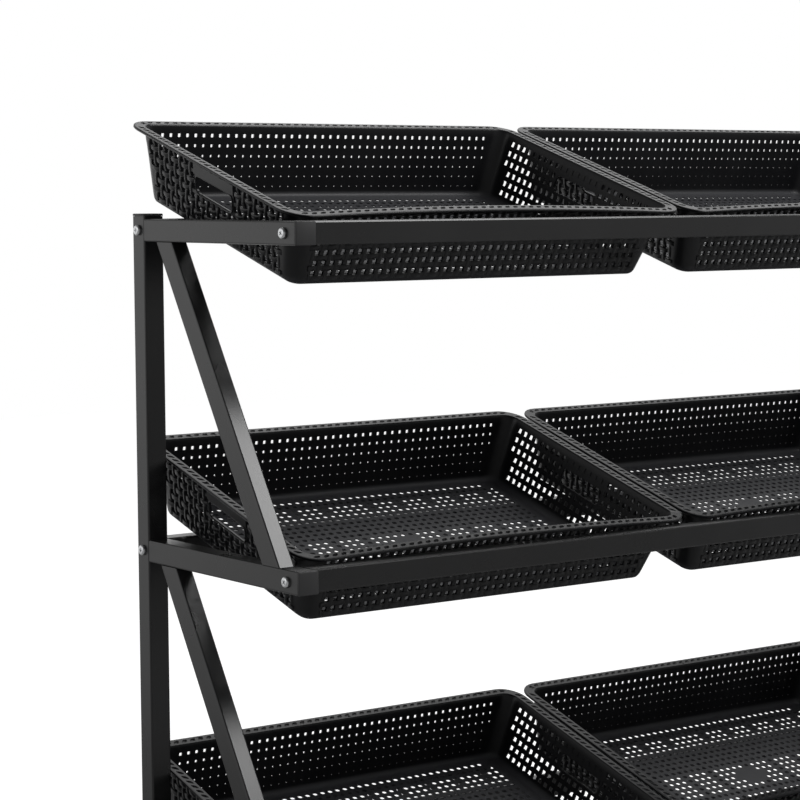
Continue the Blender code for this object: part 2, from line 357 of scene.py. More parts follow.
basket = {
    "width": 0.556, "depth": 0.355, "height": 0.0854, "shell": 0.0022, "floorThinner": 0.0010,
    "rimWidth": 0.0156, "rimCorner": 0.031,
    "rim": (                                   # inset and z, from the lip to the inner edge
        (0.0032, -0.0036), (0.0016, -0.0023), (0.0016, -0.0009), (0.0021, -0.0002), (0.0032, 0),
        (0.0044, 0), (0.0136, 0), (0.0147, 0), (0.0154, -0.0007),
    ),
    "wallTop": 0.0025,                         # the walls' first line below the rim
    "wallCorner": 0.018, "cornerGrows": 0.03,  # radius, and the depth where it is reached
    "endInset": 0.027, "sideInset": 0.035,     # of the walls' foot from the rim's edge
    "fillet": 0.007, "filletSteps": 4, "cornerSteps": 7,
    "bow": 0.005, "bowReach": 0.036,           # the front rim's rise, and how far back it goes
    "weld": 0.00002, "smooth": 32,
}
perforation = {
    "columns": (43, 25), "firstColumn": (0.0453, 0.0425),      # of the end walls and the sides
    "rowDepths": (0.0120, 0.02375, 0.0355, 0.04725, 0.0590, 0.07075),
    "fullRows": 3,                             # the rows below leave out a hole at each end
    "widths": {                                # of each row, from the rim down
        "front": (0.0050, 0.0050, 0.0050, 0.0050, 0.0050, 0.0050),
        "back": (0.0040, 0.0032, 0.0026, 0.0021, 0.0018, 0.0016),
        "side": (0.0060, 0.0060, 0.0060, 0.0060, 0.0060, 0.0060),
    },
    "flare": {"front": 0.0010, "back": 0.0006, "side": 0.0018},      # wider outside by this
    "corner": 0.0005, "endGap": 0.0006,
    "floor": (0.0060, 0.0058), "floorReach": (20, 12), "floorCorner": 0.0014,
    "patch": (0.055, 0.037), "patchAside": 0.011,      # the plain oval near the floor's middle
    "slack": 0.1, "floorWithin": 0.001, "flatWithin": 0.02,      # how a face is told to be a hole
}
handSlot = {
    "size": (0.076, 0.019), "depth": 0.0315, "corner": 0.006, "cornerSteps": 6,
    "cutterShare": 1.1,                        # the cutter's length, of the basket's width
    "holeRoom": 0.002, "pillowRoom": 0.006,    # plain wall about it
    "line": 0.0010, "lineSteps": 5, "lineLift": 0.0002,
    "plate": {"longer": 0.008, "room": 0.0012, "thick": 0.0026, "sink": 0.0016, "edge": 0.0004},
}
halfWidth = basket["width"] / 2
halfDepth = basket["depth"] / 2
innerDepth = basket["height"] - basket["shell"]
pitchAcross, pitchAlong = (
    (basket[side] - 2 * first) / (count - 1) for side, first, count in
    zip(("width", "depth"), perforation["firstColumn"], perforation["columns"])
)
rowPitch = perforation["rowDepths"][1] - perforation["rowDepths"][0]
wallNames = ("front", "right", "back", "left")


def ofWall(table, wall):
    return table.get(wall, table["side"])


def holeWidths(wall):
    return ofWall(perforation["widths"], wall)


# Where the edges of a row's holes lie, on both sides of its middle

def columnLines(count, pitch, hole):
    lines = []
    for column in range(count):
        middle = (column - (count - 1) / 2) * pitch
        lines += [middle - hole / 2, middle + hole / 2]
    return lines


# The outer hole moves in where the straight part of the wall is too short for it

def squeezed(lines, end):
    out = list(lines)
    steady = lines[-3]
    if end < lines[-1] + perforation["endGap"]:
        for place, share in ((1, 1 / 3), (0, 2 / 3)):
            out[place] = -(steady + (end - steady) * share)
            out[-1 - place] = -out[place]
    return [-end] + out + [end]


# How far in the end walls and the side walls are at a depth

def insetsAt(depth):
    share = depth / innerDepth
    rim = basket["rimWidth"]
    return rim + (basket["endInset"] - rim) * share, rim + (basket["sideInset"] - rim) * share


def wallCornerAt(depth):
    top = basket["rimCorner"] - basket["rimWidth"]
    return top + (basket["wallCorner"] - top) * min(1, depth / basket["cornerGrows"])


# Rings from the lip to the floor. Each has a corner radius and, for each of its four walls,
# an end inset, a side inset, a z and the width of the holes

def rimRings():
    rings = []
    for inset, z in basket["rim"]:
        walls = [(inset, inset, z, holeWidths(wall)[0]) for wall in wallNames]
        rings.append((basket["rimCorner"] - inset, walls))
    return rings


def wallRings(wallEnd):
    steps = [(basket["wallTop"], 0, 0)]
    for row, middle in enumerate(perforation["rowDepths"]):
        steps += [(middle, row, -0.5), (middle, row, 0.5)]
    steps.append((wallEnd, -1, 0))
    rings = []
    for middle, row, way in steps:
        walls = []
        for wall in wallNames:
            hole = holeWidths(wall)[row]
            depth = middle + way * hole
            walls.append((*insetsAt(depth), -depth, hole))
        rings.append((wallCornerAt(middle), walls))
    return rings


def filletRings(wallEnd):
    low, end = insetsAt(wallEnd), insetsAt(innerDepth)
    rings = []
    for step in range(1, basket["filletSteps"] + 1):
        share = step / basket["filletSteps"]
        reach = basket["fillet"] * share * share
        fall = 1 - (1 - share) ** 2
        insets = [a + (b - a) * fall + reach for a, b in zip(low, end)]
        walls = []
        for quarter, wall in enumerate(wallNames):
            hole = holeWidths(wall)[-1]
            onFloor = perforation["floor"][quarter % 2]
            width = hole + (onFloor - hole) * share
            walls.append((*insets, -(wallEnd + basket["fillet"] * fall), width))
        rings.append((basket["wallCorner"] - 2 * reach, walls))
    return rings


# The lines of the holes' edges along a wall, how far out the wall is, and its z

def wallLines(quarter, corner, wall):
    onEnd = quarter % 2 == 0
    endInset, sideInset, z, hole = wall
    pitch = pitchAcross if onEnd else pitchAlong
    lines = columnLines(perforation["columns"][quarter % 2], pitch, hole)
    if onEnd:
        return squeezed(lines, halfWidth - sideInset - corner), halfDepth - endInset, z
    return squeezed(lines, halfDepth - endInset - corner), halfWidth - sideInset, z


# One ring of the basket, anticlockwise from the front left corner

def ringPoints(corner, walls):
    points = []
    for quarter in range(4):
        lines, reach, z = wallLines(quarter, corner, walls[quarter])
        nextLines, nextReach, nextZ = wallLines(quarter + 1, corner, walls[(quarter + 1) % 4])
        turn = quarterTurn(quarter)
        points += [turn @ Vector((x, -reach, z)) for x in lines]
        first = Vector((lines[-1], corner - reach, z))
        last = Vector((nextReach - corner, nextLines[0], nextZ))
        for step in range(1, basket["cornerSteps"]):
            share = step / basket["cornerSteps"]
            middle = first.lerp(last, share)
            points.append(turn @ (middle + towards(math.pi / 2 * (share - 1)) * corner))
    return [point + Vector((0, halfDepth, 0)) for point in points]


# The floor's own border, where each round corner shrinks to one point

def floorBorder(ring, corner, wall):
    endX = halfWidth - wall[1] - corner
    endY = halfDepth - wall[0] - corner
    border = []
    for point in ring:
        x = max(-endX, min(endX, point.x))
        y = max(-endY, min(endY, point.y - halfDepth))
        border.append(Vector((x, y + halfDepth, point.z)))
    return border


# A grid primitive laid out point by point, by each point's column and row

def gridSheet(name, across, along, placeOf):
    pickNone()
    bpy.ops.mesh.primitive_grid_add(x_subdivisions=across, y_subdivisions=along, size=1)
    sheet = bpy.context.object
    sheet.name = name
    for vert in sheet.data.vertices:
        column = round((vert.co.x + 0.5) * across)
        row = round((vert.co.y + 0.5) * along)
        vert.co = placeOf(column, row)
    return sheet


def makeBasketSkin():
    wallEnd = innerDepth - basket["fillet"]
    levels = rimRings() + wallRings(wallEnd) + filletRings(wallEnd)
    rings = [ringPoints(*level) for level in levels]
    lastCorner, lastWalls = levels[-1]
    border = floorBorder(rings[-1], lastCorner, lastWalls[0])
    rings.append(border)
    count = len(border)
    walls = gridSheet("basketWalls", count, len(rings) - 1,
                      lambda column, row: rings[row][column % count])
    columnsX, columnsY = (2 * columns + 2 for columns in perforation["columns"])
    start = columnsX + basket["cornerSteps"] - 1
    xs = [point.x for point in border[:columnsX]]
    ys = [point.y for point in border[start:start + columnsY]]
    floorZ = border[0].z
    floor = gridSheet("basketFloor", columnsX - 1, columnsY - 1,
                      lambda column, row: Vector((xs[column], ys[row], floorZ)))
    skin = joined("basketSkin", [walls, floor])
    bpy.ops.object.mode_set(mode="EDIT")
    bpy.ops.mesh.select_all(action="SELECT")
    bpy.ops.mesh.remove_doubles(threshold=basket["weld"])
    bpy.ops.mesh.normals_make_consistent(inside=False)
    leave()
    return skin


# Holes. A face of the skin that is in the way of one belongs to its wall, column and row

def offGrid(place):
    return abs(place - round(place)) > perforation["slack"]


def nearSlot(along, depth, room):
    long, high = handSlot["size"]
    return abs(along) < long / 2 + room and abs(depth - handSlot["depth"]) < high / 2 + room


def floorHole(x, y):
    column, row = x / pitchAcross, y / pitchAlong
    lastColumn, lastRow = perforation["floorReach"]
    beyond = abs(column) > lastColumn + 0.5 or abs(row) > lastRow + 0.5
    inCorner = abs(column) > lastColumn - 0.5 and abs(row) > lastRow - 0.5
    wide, long = perforation["patch"]
    fromPatch = (2 * (x - perforation["patchAside"]) / wide) ** 2 + (2 * y / long) ** 2
    if beyond or inCorner or fromPatch < 1 or offGrid(column) or offGrid(row):
        return None
    return "floor", round(column), round(row)


def wallHole(x, y, depth, normal):
    slack = perforation["slack"]
    level = (depth - perforation["rowDepths"][0]) / rowPitch
    if offGrid(level) or not -slack < level < len(perforation["rowDepths"]) - 1 + slack:
        return None
    if min(abs(normal.x), abs(normal.y)) > perforation["flatWithin"]:
        return None
    onEnd = abs(normal.y) > abs(normal.x)
    column = x / pitchAcross if onEnd else y / pitchAlong
    last = (perforation["columns"][0 if onEnd else 1] - 1) / 2
    if round(level) >= perforation["fullRows"]:
        last -= 1
    if offGrid(column) or abs(column) > last + slack:
        return None
    if not onEnd and nearSlot(y, depth, handSlot["holeRoom"]):
        return None
    wall = ("front" if y < 0 else "back") if onEnd else ("left" if x < 0 else "right")
    return wall, round(column), round(level)


def holeOf(face):
    x, y, depth = face.center.x, face.center.y - halfDepth, -face.center.z
    if depth > innerDepth - perforation["floorWithin"]:
        return floorHole(x, y)
    return wallHole(x, y, depth, face.normal)


def placeKey(place):
    return tuple(round(value, 6) for value in place)


# Deletes the faces in the way of the holes. Returns each hole's points

def openHoles(skin):
    mesh = skin.data
    holes = {}
    for face in mesh.polygons:
        hole = holeOf(face)
        if hole:
            holes[hole] = [placeKey(mesh.vertices[index].co) for index in face.vertices]
    pickParts(skin, "FACE", lambda face: holeOf(face) is not None)
    bpy.ops.mesh.delete(type="ONLY_FACE")
    leave()
    indices = {placeKey(vert.co): vert.index for vert in mesh.vertices}
    return {hole: [indices[key] for key in keys] for hole, keys in holes.items()}


# Gives the skin its wall. The holes in the walls widen outwards, and all get their corners cut

def thicken(skin, holes):
    count = len(skin.data.vertices)
    apply(skin, "SOLIDIFY", thickness=basket["shell"], offset=-1, use_even_offset=True)
    verts = skin.data.vertices
    for (wall, column, row), points in holes.items():
        if wall == "floor":
            continue
        flare = 1 + ofWall(perforation["flare"], wall) / holeWidths(wall)[row]
        middle = sum((verts[index + count].co for index in points), Vector()) / len(points)
        for index in points:
            verts[index + count].co = middle + (verts[index + count].co - middle) * flare
    for vert in verts[:count]:
        if vert.co.z < hair - innerDepth:
            verts[vert.index + count].co.z += basket["floorThinner"]
    marks = {}                                 # 1 for the points of a wall's hole, 2 in the floor
    for hole, points in holes.items():
        marks.update((index, 2 if hole[0] == "floor" else 1) for index in points)
    corners = skin.data.attributes.new("holeCorner", "INT", "EDGE")
    for edge in skin.data.edges:
        low, high = sorted(edge.vertices)
        if high - low == count:                # it joins the skin's inside and outside
            corners.data[edge.index].value = marks.get(low, 0)
    for mark, offset in ((1, perforation["corner"]), (2, perforation["floorCorner"])):
        values = [item.value for item in skin.data.attributes["holeCorner"].data]
        bevelEdges(skin, lambda edge: values[edge.index] == mark, offset, 1, clamp_overlap=True)


def makeSlotCutter():
    long, high = handSlot["size"]
    through = basket["width"] * handSlot["cutterShare"]
    bar = addCube("slotCutter", (through, long, high))
    verts = bar.data.vertices

    def runsThrough(edge):
        first, second = (verts[index].co for index in edge.vertices)
        return abs(first.x - second.x) > through / 2

    bevelEdges(bar, runsThrough, handSlot["corner"], handSlot["cornerSteps"])
    bar.location = (0, halfDepth, -handSlot["depth"])
    applyPlace(bar)
    return bar


# The woven outside: pillows that pass over and under each other, four in a cell

weave = {
    "sink": 0.0005, "edge": 0.0007, "flatShare": 0.28,
    "tipFrom": 0.4, "tipShare": 0.97, "tipRise": 0.12,           # the ends of a pillow
    "end": {"rise": 0.0011, "length": 1.04, "share": 0.54},      # as shares of the pitch
    "side": {"rise": 0.0016, "length": 1.26, "share": 0.46},
    "standing": {"rise": 0.62, "share": 0.80},                   # against those that lie across
    "highest": 0.0005, "lowest": 0.0785, "lowestBack": 0.0720, "rowPairs": 4,
    "narrowFrom": 0.0413, "narrowBy": 0.9,     # depth, and how many pitches less at each end
}


def makePillow(name, length, width, rise):
    tall = rise + weave["sink"]
    pillow = addCube(name, (length, width, tall), (0, 0, tall / 2 - weave["sink"]))
    bpy.ops.object.mode_set(mode="EDIT")
    for share in (-weave["flatShare"], weave["flatShare"]):
        bpy.ops.mesh.select_all(action="SELECT")
        bpy.ops.mesh.bisect(plane_co=(length * share, 0, 0), plane_no=(1, 0, 0))
    leave()
    verts = pillow.data.vertices

    def isRidge(edge):
        first, second = (verts[index].co for index in edge.vertices)
        return min(first.z, second.z) > 0 and abs(first.y - second.y) < width / 4

    bevelEdges(pillow, isRidge, weave["edge"], 1)
    for vert in pillow.data.vertices:
        if abs(vert.co.x) > length * weave["tipFrom"]:
            vert.co.y *= weave["tipShare"]
            if vert.co.z > 0:
                vert.co.z *= weave["tipRise"]
    return pillow


# Two pillows that lie across and two that stand, in a square of two pitches each way

def weaveCell(across, down, look):
    lying = makePillow("lyingPillow", across * look["length"], down * look["share"], look["rise"])
    standing = makePillow("standingPillow", down * look["length"],
                          across * look["share"] * weave["standing"]["share"],
                          look["rise"] * weave["standing"]["rise"])
    standing.rotation_euler.z = math.pi / 2
    applyPlace(standing)
    pieces = []
    for model, spots in ((lying, ((0, 0), (1, 1))), (standing, ((1, 0), (0, 1)))):
        for column, row in spots:
            place = Matrix.Translation((column * across, row * down, 0))
            pieces.append(copyTo(model, "pillow", place))
        bpy.data.objects.remove(model)
    return joined("weaveCell", pieces)


# From a wall's own axes, along it, up it and out of it, to the basket's. And the wall's lean

def wallFrame(quarter):
    onEnd = quarter % 2 == 0
    inset = basket["endInset"] if onEnd else basket["sideInset"]
    lean = math.atan2(inset - basket["rimWidth"], innerDepth)
    outward = Vector((0, -math.cos(lean), -math.sin(lean)))
    along = Vector((1, 0, 0))
    reach = (halfDepth if onEnd else halfWidth) - basket["rimWidth"]
    start = Vector((0, -reach, 0)) + outward * basket["shell"]
    axes = Matrix((along, outward.cross(along), outward)).transposed().to_4x4()
    middle = Matrix.Translation((0, halfDepth, 0)) @ quarterTurn(quarter, 4)
    return middle @ Matrix.Translation(start) @ axes, lean


# Whether there is a flat wall under a pillow, and no hand slot

def pillowFits(across, depth, onEnd, lowest):
    if not 0 <= depth <= lowest:
        return False
    pitch = pitchAcross if onEnd else pitchAlong
    room = (perforation["columns"][0 if onEnd else 1] + 1) / 2 * pitch
    if depth > weave["narrowFrom"]:
        room -= pitch * weave["narrowBy"]
    if abs(across) > room:
        return False
    return onEnd or not nearSlot(across, depth, handSlot["pillowRoom"])


def makeWeave(quarter):
    onEnd = quarter % 2 == 0
    across = pitchAcross if onEnd else pitchAlong
    count = perforation["columns"][quarter % 2] + 1
    place, lean = wallFrame(quarter)
    slope = math.cos(lean)
    down = rowPitch / slope
    lowest = weave["lowestBack" if quarter == 2 else "lowest"]
    cell = weaveCell(across, down, weave["end" if onEnd else "side"])
    each = len(cell.data.vertices) // 4
    start = perforation["rowDepths"][-1] + rowPitch / 2
    cell.location = (-(count - 1) / 2 * across, -start / slope, 0)
    applyPlace(cell)
    repeat(cell, count // 2, (2 * across, 0, 0))
    repeat(cell, weave["rowPairs"], (0, 2 * down, 0))
    deleteCopies(cell, each,
                 lambda middle: not pillowFits(middle.x, -middle.y * slope, onEnd, lowest))
    for vert in cell.data.vertices:            # none reaches past the wall's flat part
        vert.co.y = max(-lowest / slope, min(-weave["highest"], vert.co.y))
        depth = -vert.co.y * slope
        endInset, sideInset = insetsAt(depth)
        end = (halfWidth - sideInset if onEnd else halfDepth - endInset) - wallCornerAt(depth)
        vert.co.x = max(-end, min(end, vert.co.x))
    cell.matrix_world = place
    applyPlace(cell)
    return cell


# The rim's pattern: slanting eye-shaped dimples along its middle, three ridges at each corner

rimPattern = {
    "long": 0.0106, "wide": 0.0056, "deep": 0.0016, "pointed": 0.6, "slant": 34,
    "pitch": 0.0111, "inset": 0.0090, "steps": (12, 6), "cornerSteps": 12,
    "ridge": (0.0080, 0.0011, 0.0008), "ridgeEdge": 0.0003, "ridgeSink": 0.0001,
    "ridgePitch": 0.0026, "ridgeRoom": 0.0052,
}


def rimCornerMiddle(quarter):
    across, along = (halfWidth, halfDepth) if quarter % 2 == 0 else (halfDepth, halfWidth)
    return Vector((across - basket["rimCorner"], basket["rimCorner"] - along, 0))


# A closed line round the rim, this far in from its edge

def rimPath(inset):
    spots = []
    for quarter in range(4):
        turn = quarterTurn(quarter)
        middle = rimCornerMiddle(quarter)
        for step in range(rimPattern["cornerSteps"] + 1):
            angle = math.pi / 2 * (step / rimPattern["cornerSteps"] - 1)
            spots.append(turn @ (middle + towards(angle) * (basket["rimCorner"] - inset)))
    return spots


def makeDimpleCutter(look):
    segments, rings = look["steps"]
    pickNone()
    bpy.ops.mesh.primitive_uv_sphere_add(segments=segments, ring_count=rings, radius=0.5)
    eyes = bpy.context.object
    eyes.scale = (look["long"], look["wide"], 2 * look["deep"])
    applyPlace(eyes)
    for vert in eyes.data.vertices:
        vert.co.y *= 1 - (2 * vert.co.x / look["long"]) ** 2 * look["pointed"]
    eyes.rotation_euler.z = math.radians(look["slant"])
    applyPlace(eyes)
    each = len(eyes.data.vertices)
    spots = rimPath(look["inset"])
    length = sum((b - a).length for a, b in zip(spots, spots[1:] + spots[:1]))
    count = round(length / look["pitch"])
    repeat(eyes, count, (length / count, 0, 0))
    path = closedCurve("rimPath", spots)
    apply(eyes, "CURVE", object=path, deform_axis="POS_X")
    bpy.data.objects.remove(path)
    corners = spots[look["cornerSteps"] // 2::look["cornerSteps"] + 1]      # where the ridges are
    deleteCopies(eyes, each, lambda middle: min(
        (middle - corner).length for corner in corners) < look["ridgeRoom"])
    eyes.location = (0, halfDepth, 0)
    applyPlace(eyes)
    return eyes


def makeRidges(look):
    radius = basket["rimCorner"] - look["inset"]
    pieces = []
    for quarter in range(4):
        middle = rimCornerMiddle(quarter)
        for step in (-1, 0, 1):
            angle = step * look["ridgePitch"] / radius - math.pi / 4
            ridge = makeBar("ridge", look["ridge"], (0, 0, 0), look["ridgeEdge"])
            ridge.rotation_euler.z = angle
            ridge.location = middle + towards(angle) * radius
            applyPlace(ridge)
            ridge.rotation_euler.z = quarter * math.pi / 2
            applyPlace(ridge)
            pieces.append(ridge)
    ridges = joined("rimRidges", pieces)
    ridges.location = (0, halfDepth, -look["ridge"][2] / 2 - look["ridgeSink"])
    applyPlace(ridges)
    return ridges


# A raised round line about the hand slot, on the outside

def makeSlotLine(quarter):
    place, lean = wallFrame(quarter)
    radius, steps = handSlot["line"], handSlot["lineSteps"]
    corner = handSlot["corner"] + radius
    halfLong = handSlot["size"][0] / 2 + radius - corner
    halfHigh = handSlot["size"][1] / 2 / math.cos(lean) + radius - corner
    spots = []
    for turn, (signX, signY) in enumerate(((1, 1), (-1, 1), (-1, -1), (1, -1))):
        for step in range(steps + 1):
            middle = Vector((signX * halfLong, signY * halfHigh, 0))
            spots.append(middle + towards(math.pi / 2 * (turn + step / steps)) * corner)
    line = closedCurve("slotLine", spots)
    line.data.bevel_depth = radius
    line.data.bevel_resolution = 2
    pick(line)
    bpy.ops.object.convert(target="MESH")
    line = bpy.context.object
    line.location = (0, -handSlot["depth"] / math.cos(lean), handSlot["lineLift"])
    applyPlace(line)
    line.matrix_world = place
    applyPlace(line)
    return line


# The plain band between the rim and the hand slot, which closes the holes there

def makeSlotPlate(quarter):
    place, lean = wallFrame(quarter)
    look = handSlot["plate"]
    top = handSlot["depth"] - handSlot["size"][1] / 2
    high = (top - 2 * look["room"]) / math.cos(lean)
    middle = (0, -top / 2 / math.cos(lean), look["thick"] / 2 - look["sink"])
    size = (handSlot["size"][0] + look["longer"], high, look["thick"])
    plate = makeBar("slotPlate", size, middle, look["edge"])
    plate.matrix_world = place
    applyPlace(plate)
    return plate


# Ribs under the floor, which stop short of the rear rail

ribs = {
    "thick": 0.0018, "deep": 0.0038, "sink": 0.0015, "edge": 0.0004,
    "columns": (-19.5, -15.5, -11.5, -7.5, -3.5, 2.5, 6.5, 10.5, 14.5, 18.5),
    "rows": (-10.5, -6.5, -2.5, 3.5, 11.5),
    "spans": ((0.048, 0.2520), (0.2790, 0.3130)), "side": 0.226,
}


def makeRibs(look):
    height = -(basket["height"] + look["deep"] / 2 - look["sink"] / 2)
    tall = look["deep"] + look["sink"]
    pieces = []
    for column in look["columns"]:
        for start, end in look["spans"]:
            size = (look["thick"], end - start, tall)
            middle = (column * pitchAcross, (start + end) / 2, height)
            pieces.append(makeBar("rib", size, middle, look["edge"]))
    for row in look["rows"]:
        size = (2 * look["side"], look["thick"], tall)
        middle = (0, halfDepth + row * pitchAlong, height)
        pieces.append(makeBar("rib", size, middle, look["edge"]))
    return joined("basketRibs", pieces)


# The front rim stands a little higher in its middle, and takes the wall's top with it

def bowFront(obj):
    halfBow = halfWidth - basket["sideInset"]
    for vert in obj.data.vertices:
        if vert.co.y < basket["bowReach"]:
            arch = max(0, 1 - (vert.co.x / halfBow) ** 2)
            sink = max(0, min(1, -vert.co.z / innerDepth))
            vert.co.z += basket["bow"] * arch * (1 - sink)


# An attribute for the finish: 1 on the floor, 0 above its fillet. It places the floor's painted
# sheen and its duller roughness

def markFloor(obj):
    mark = obj.data.attributes.new("floorShare", "FLOAT", "POINT")
    for vert in obj.data.vertices:
        share = 1 - (innerDepth + vert.co.z) / basket["fillet"]
        mark.data[vert.index].value = max(0, min(1, share))


def makeBasket():
    skin = makeBasketSkin()
    thicken(skin, openHoles(skin))
    cutWith(skin, makeSlotCutter())
    cutWith(skin, makeDimpleCutter(rimPattern))
    pieces = [skin] + [makeWeave(quarter) for quarter in range(4)]
    for quarter in (1, 3):
        pieces += [makeSlotLine(quarter), makeSlotPlate(quarter)]
    pieces += [makeRidges(rimPattern), makeRibs(ribs)]
    whole = joined("basketModel", pieces)
    bowFront(whole)
    markFloor(whole)
    pick(whole)
    smoothBelow(basket["smooth"])
    return whole


# A basket's place and tilt, from its CAD node and the way in which it lifts

def basketPlace(node):
    lift = next(joint for joint in frame["joints"] if joint["child"] == node)
    tilt = math.atan2(-lift["axis"][1], lift["axis"][2])
    low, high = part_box(node)
    frontZ = high.z - basket["depth"] * math.sin(tilt)
    corner = Vector(((low.x + high.x) / 2, low.y, frontZ))
    return Matrix.Translation(corner) @ Matrix.Rotation(tilt, 4, "X")


model = makeBasket()
print("basket modelled:", sum(len(face.vertices) - 2 for face in model.data.polygons), "triangles")
for node in sorted(name for name in frame["nodes"] if name.startswith("basket_")):
    piece = copyTo(model, "woven_" + node, basketPlace(node))
    setFinish(piece, basketFinish)
    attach(piece, node)
    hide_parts(node)
bpy.data.objects.remove(model)
print("baskets in place")


# Screws: pan heads with a cross recess, on a pointed shank. The tube's face is at z = 0

screwLook = {
    "head": 0.006, "tall": 0.0035, "under": 0.0003, "dome": 0.0022, "domeSteps": 5, "headSteps": 40,
    "cross": (0.0066, 0.0014, 0.0020), "crossFoot": 0.5,
    "shank": 0.003, "length": 0.040, "overlap": 0.001, "shankSteps": 20,
    "point": 0.0022, "pointSteps": 3, "smooth": 35,
    "turnEach": 0.9,                           # from one screw to the next, so that none match
}
headTop = screwLook["under"] + screwLook["tall"]


def makeScrew(look):
    head = addCylinder("screwHead", look["headSteps"], look["head"], look["tall"],
                       (0, 0, look["under"] + look["tall"] / 2))
    bevelEdges(head, lambda edge: min(edgeHeights(head, edge)) > headTop - hair,
               look["dome"], look["domeSteps"])
    long, wide, deep = look["cross"]
    for turn in (0, math.pi / 2):
        blade = addCube("crossBlade", (long, wide, 2 * deep), (0, 0, headTop))
        for vert in blade.data.vertices:
            if vert.co.z < headTop:
                vert.co.x *= look["crossFoot"]
                vert.co.y *= look["crossFoot"]
        blade.rotation_euler.z = turn
        applyPlace(blade)
        cutWith(head, blade)
    shank = addCylinder("screwShank", look["shankSteps"], look["shank"],
                        look["length"] + look["overlap"],
                        (0, 0, look["overlap"] / 2 - look["length"] / 2))
    bevelEdges(shank, lambda edge: max(edgeHeights(shank, edge)) < hair - look["length"],
               look["point"], look["pointSteps"])
    screw = joined("screwModel", [head, shank])
    smoothBelow(look["smooth"])
    return screw


# Plugs and glides: a rounded cap on a hollow stem. Each has its outer face at z = 0

plugLook = {
    "plug": (0.0025, 0.0145), "glide": (0.008, 0.020),           # thickness of the cap, and in all
    "side": 0.025, "edge": 0.0011, "edgeSteps": 3,
    "stem": 0.0214, "stemWall": 0.0016, "floor": 0.0012, "overlap": 0.0005, "smooth": 35,
}


def makePlug(name, thick, total, look):
    cap = addCube("cap", (look["side"], look["side"], thick), (0, 0, -thick / 2))
    bevelEdges(cap, lambda edge: max(edgeHeights(cap, edge)) > -hair,
               look["edge"], look["edgeSteps"])
    stemDeep = total - thick + look["overlap"]
    stem = addCube("stem", (look["stem"], look["stem"], stemDeep), (0, 0, stemDeep / 2 - total))
    pickParts(stem, "FACE", lambda face: face.normal.z < -0.9)
    bpy.ops.mesh.inset(thickness=look["stemWall"])
    hollow = (0, 0, stemDeep - look["floor"])
    bpy.ops.mesh.extrude_region_move(TRANSFORM_OT_translate={"value": hollow})
    leave()
    plug = joined(name, [cap, stem])
    smoothBelow(look["smooth"])
    return plug


# The middle of a node's box, but on its low or high side along an axis, or so far in from it

def sidePlace(node, turn, axis, side, inset=0.0):
    low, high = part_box(node)
    spot = (low + high) / 2
    spot[axis] = low[axis] + inset if side == "low" else high[axis] - inset
    return Matrix.Translation(spot) @ turn


screwModel = makeScrew(screwLook)
plugModel = makePlug("plugModel", *plugLook["plug"], plugLook)
glideModel = makePlug("glideModel", *plugLook["glide"], plugLook)
others = sorted(name for name in frame["nodes"] if not name.startswith("basket_"))
for count, name in enumerate(others):
    if name.startswith("screw"):
        side, way = ("low", -1) if name.endswith("left") else ("high", 1)
        spin = Matrix.Rotation(count * screwLook["turnEach"], 4, "Z")
        turn = Matrix.Rotation(way * math.pi / 2, 4, "Y") @ spin
        place = sidePlace(name, turn, 0, side, headTop)
        detail, finish, slot, title = screwModel, zincFinish, "screw_zinc", "cross_head_"
    elif name.startswith("glide"):
        place = sidePlace(name, Matrix.Rotation(math.pi, 4, "X"), 2, "low")
        detail, finish, slot, title = glideModel, capFinish, "plug_plastic", "rounded_"
    elif name.startswith("post_plug"):
        place = sidePlace(name, Matrix.Identity(4), 2, "high")
        detail, finish, slot, title = plugModel, capFinish, "plug_plastic", "rounded_"
    elif name.startswith("arm_plug"):
        place = sidePlace(name, Matrix.Rotation(math.pi / 2, 4, "X"), 1, "low")
        detail, finish, slot, title = plugModel, capFinish, "plug_plastic", "rounded_"
    else:                                      # the steel shows its own CAD mesh
        node = frame["nodes"][name]
        node.data.materials.clear()
        node.data.materials.append(steelFinish)
        continue
    piece = copyTo(detail, title + name, place)
    setFinish(piece, finish)
    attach(piece, "frame")
    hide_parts(name)
for detail in (screwModel, plugModel, glideModel):
    bpy.data.objects.remove(detail)
print("screws, plugs and glides in place")


# Camera and studio

camera = {
    "place": (-1.9815, -2.2591, 0.9512),
    "yaw": 36.396,                             # to the right of the rack's own depth
    "pitch": 6.276,                            # downwards
    "roll": -0.246,
    "lens": 110.65, "sensor": 36, "farthest": 50,
    "shift": (0.0, 0.075),
}


def addCamera(look):
    yaw, pitch, roll = (math.radians(look[key]) for key in ("yaw", "pitch", "roll"))
    forward = Vector((math.sin(yaw) * math.cos(pitch), math.cos(yaw) * math.cos(pitch),
                      -math.sin(pitch)))
    right = Vector((math.cos(yaw), -math.sin(yaw), 0))
    up = right.cross(forward)
    side = math.cos(roll) * right + math.sin(roll) * up
    top = -math.sin(roll) * right + math.cos(roll) * up
    data = bpy.data.cameras.new("photoCamera")
    data.lens = look["lens"]
    data.sensor_width = look["sensor"]
    data.shift_x, data.shift_y = look["shift"]
    data.clip_end = look["farthest"]
    obj = bpy.data.objects.new("photoCamera", data)
    turn = Matrix((side, top, -forward)).transposed().to_4x4()
    obj.matrix_world = Matrix.Translation(Vector(look["place"])) @ turn
    bpy.context.scene.collection.objects.link(obj)
    bpy.context.scene.camera = obj


addCamera(camera)
bpy.context.scene.view_settings.view_transform = "Standard"

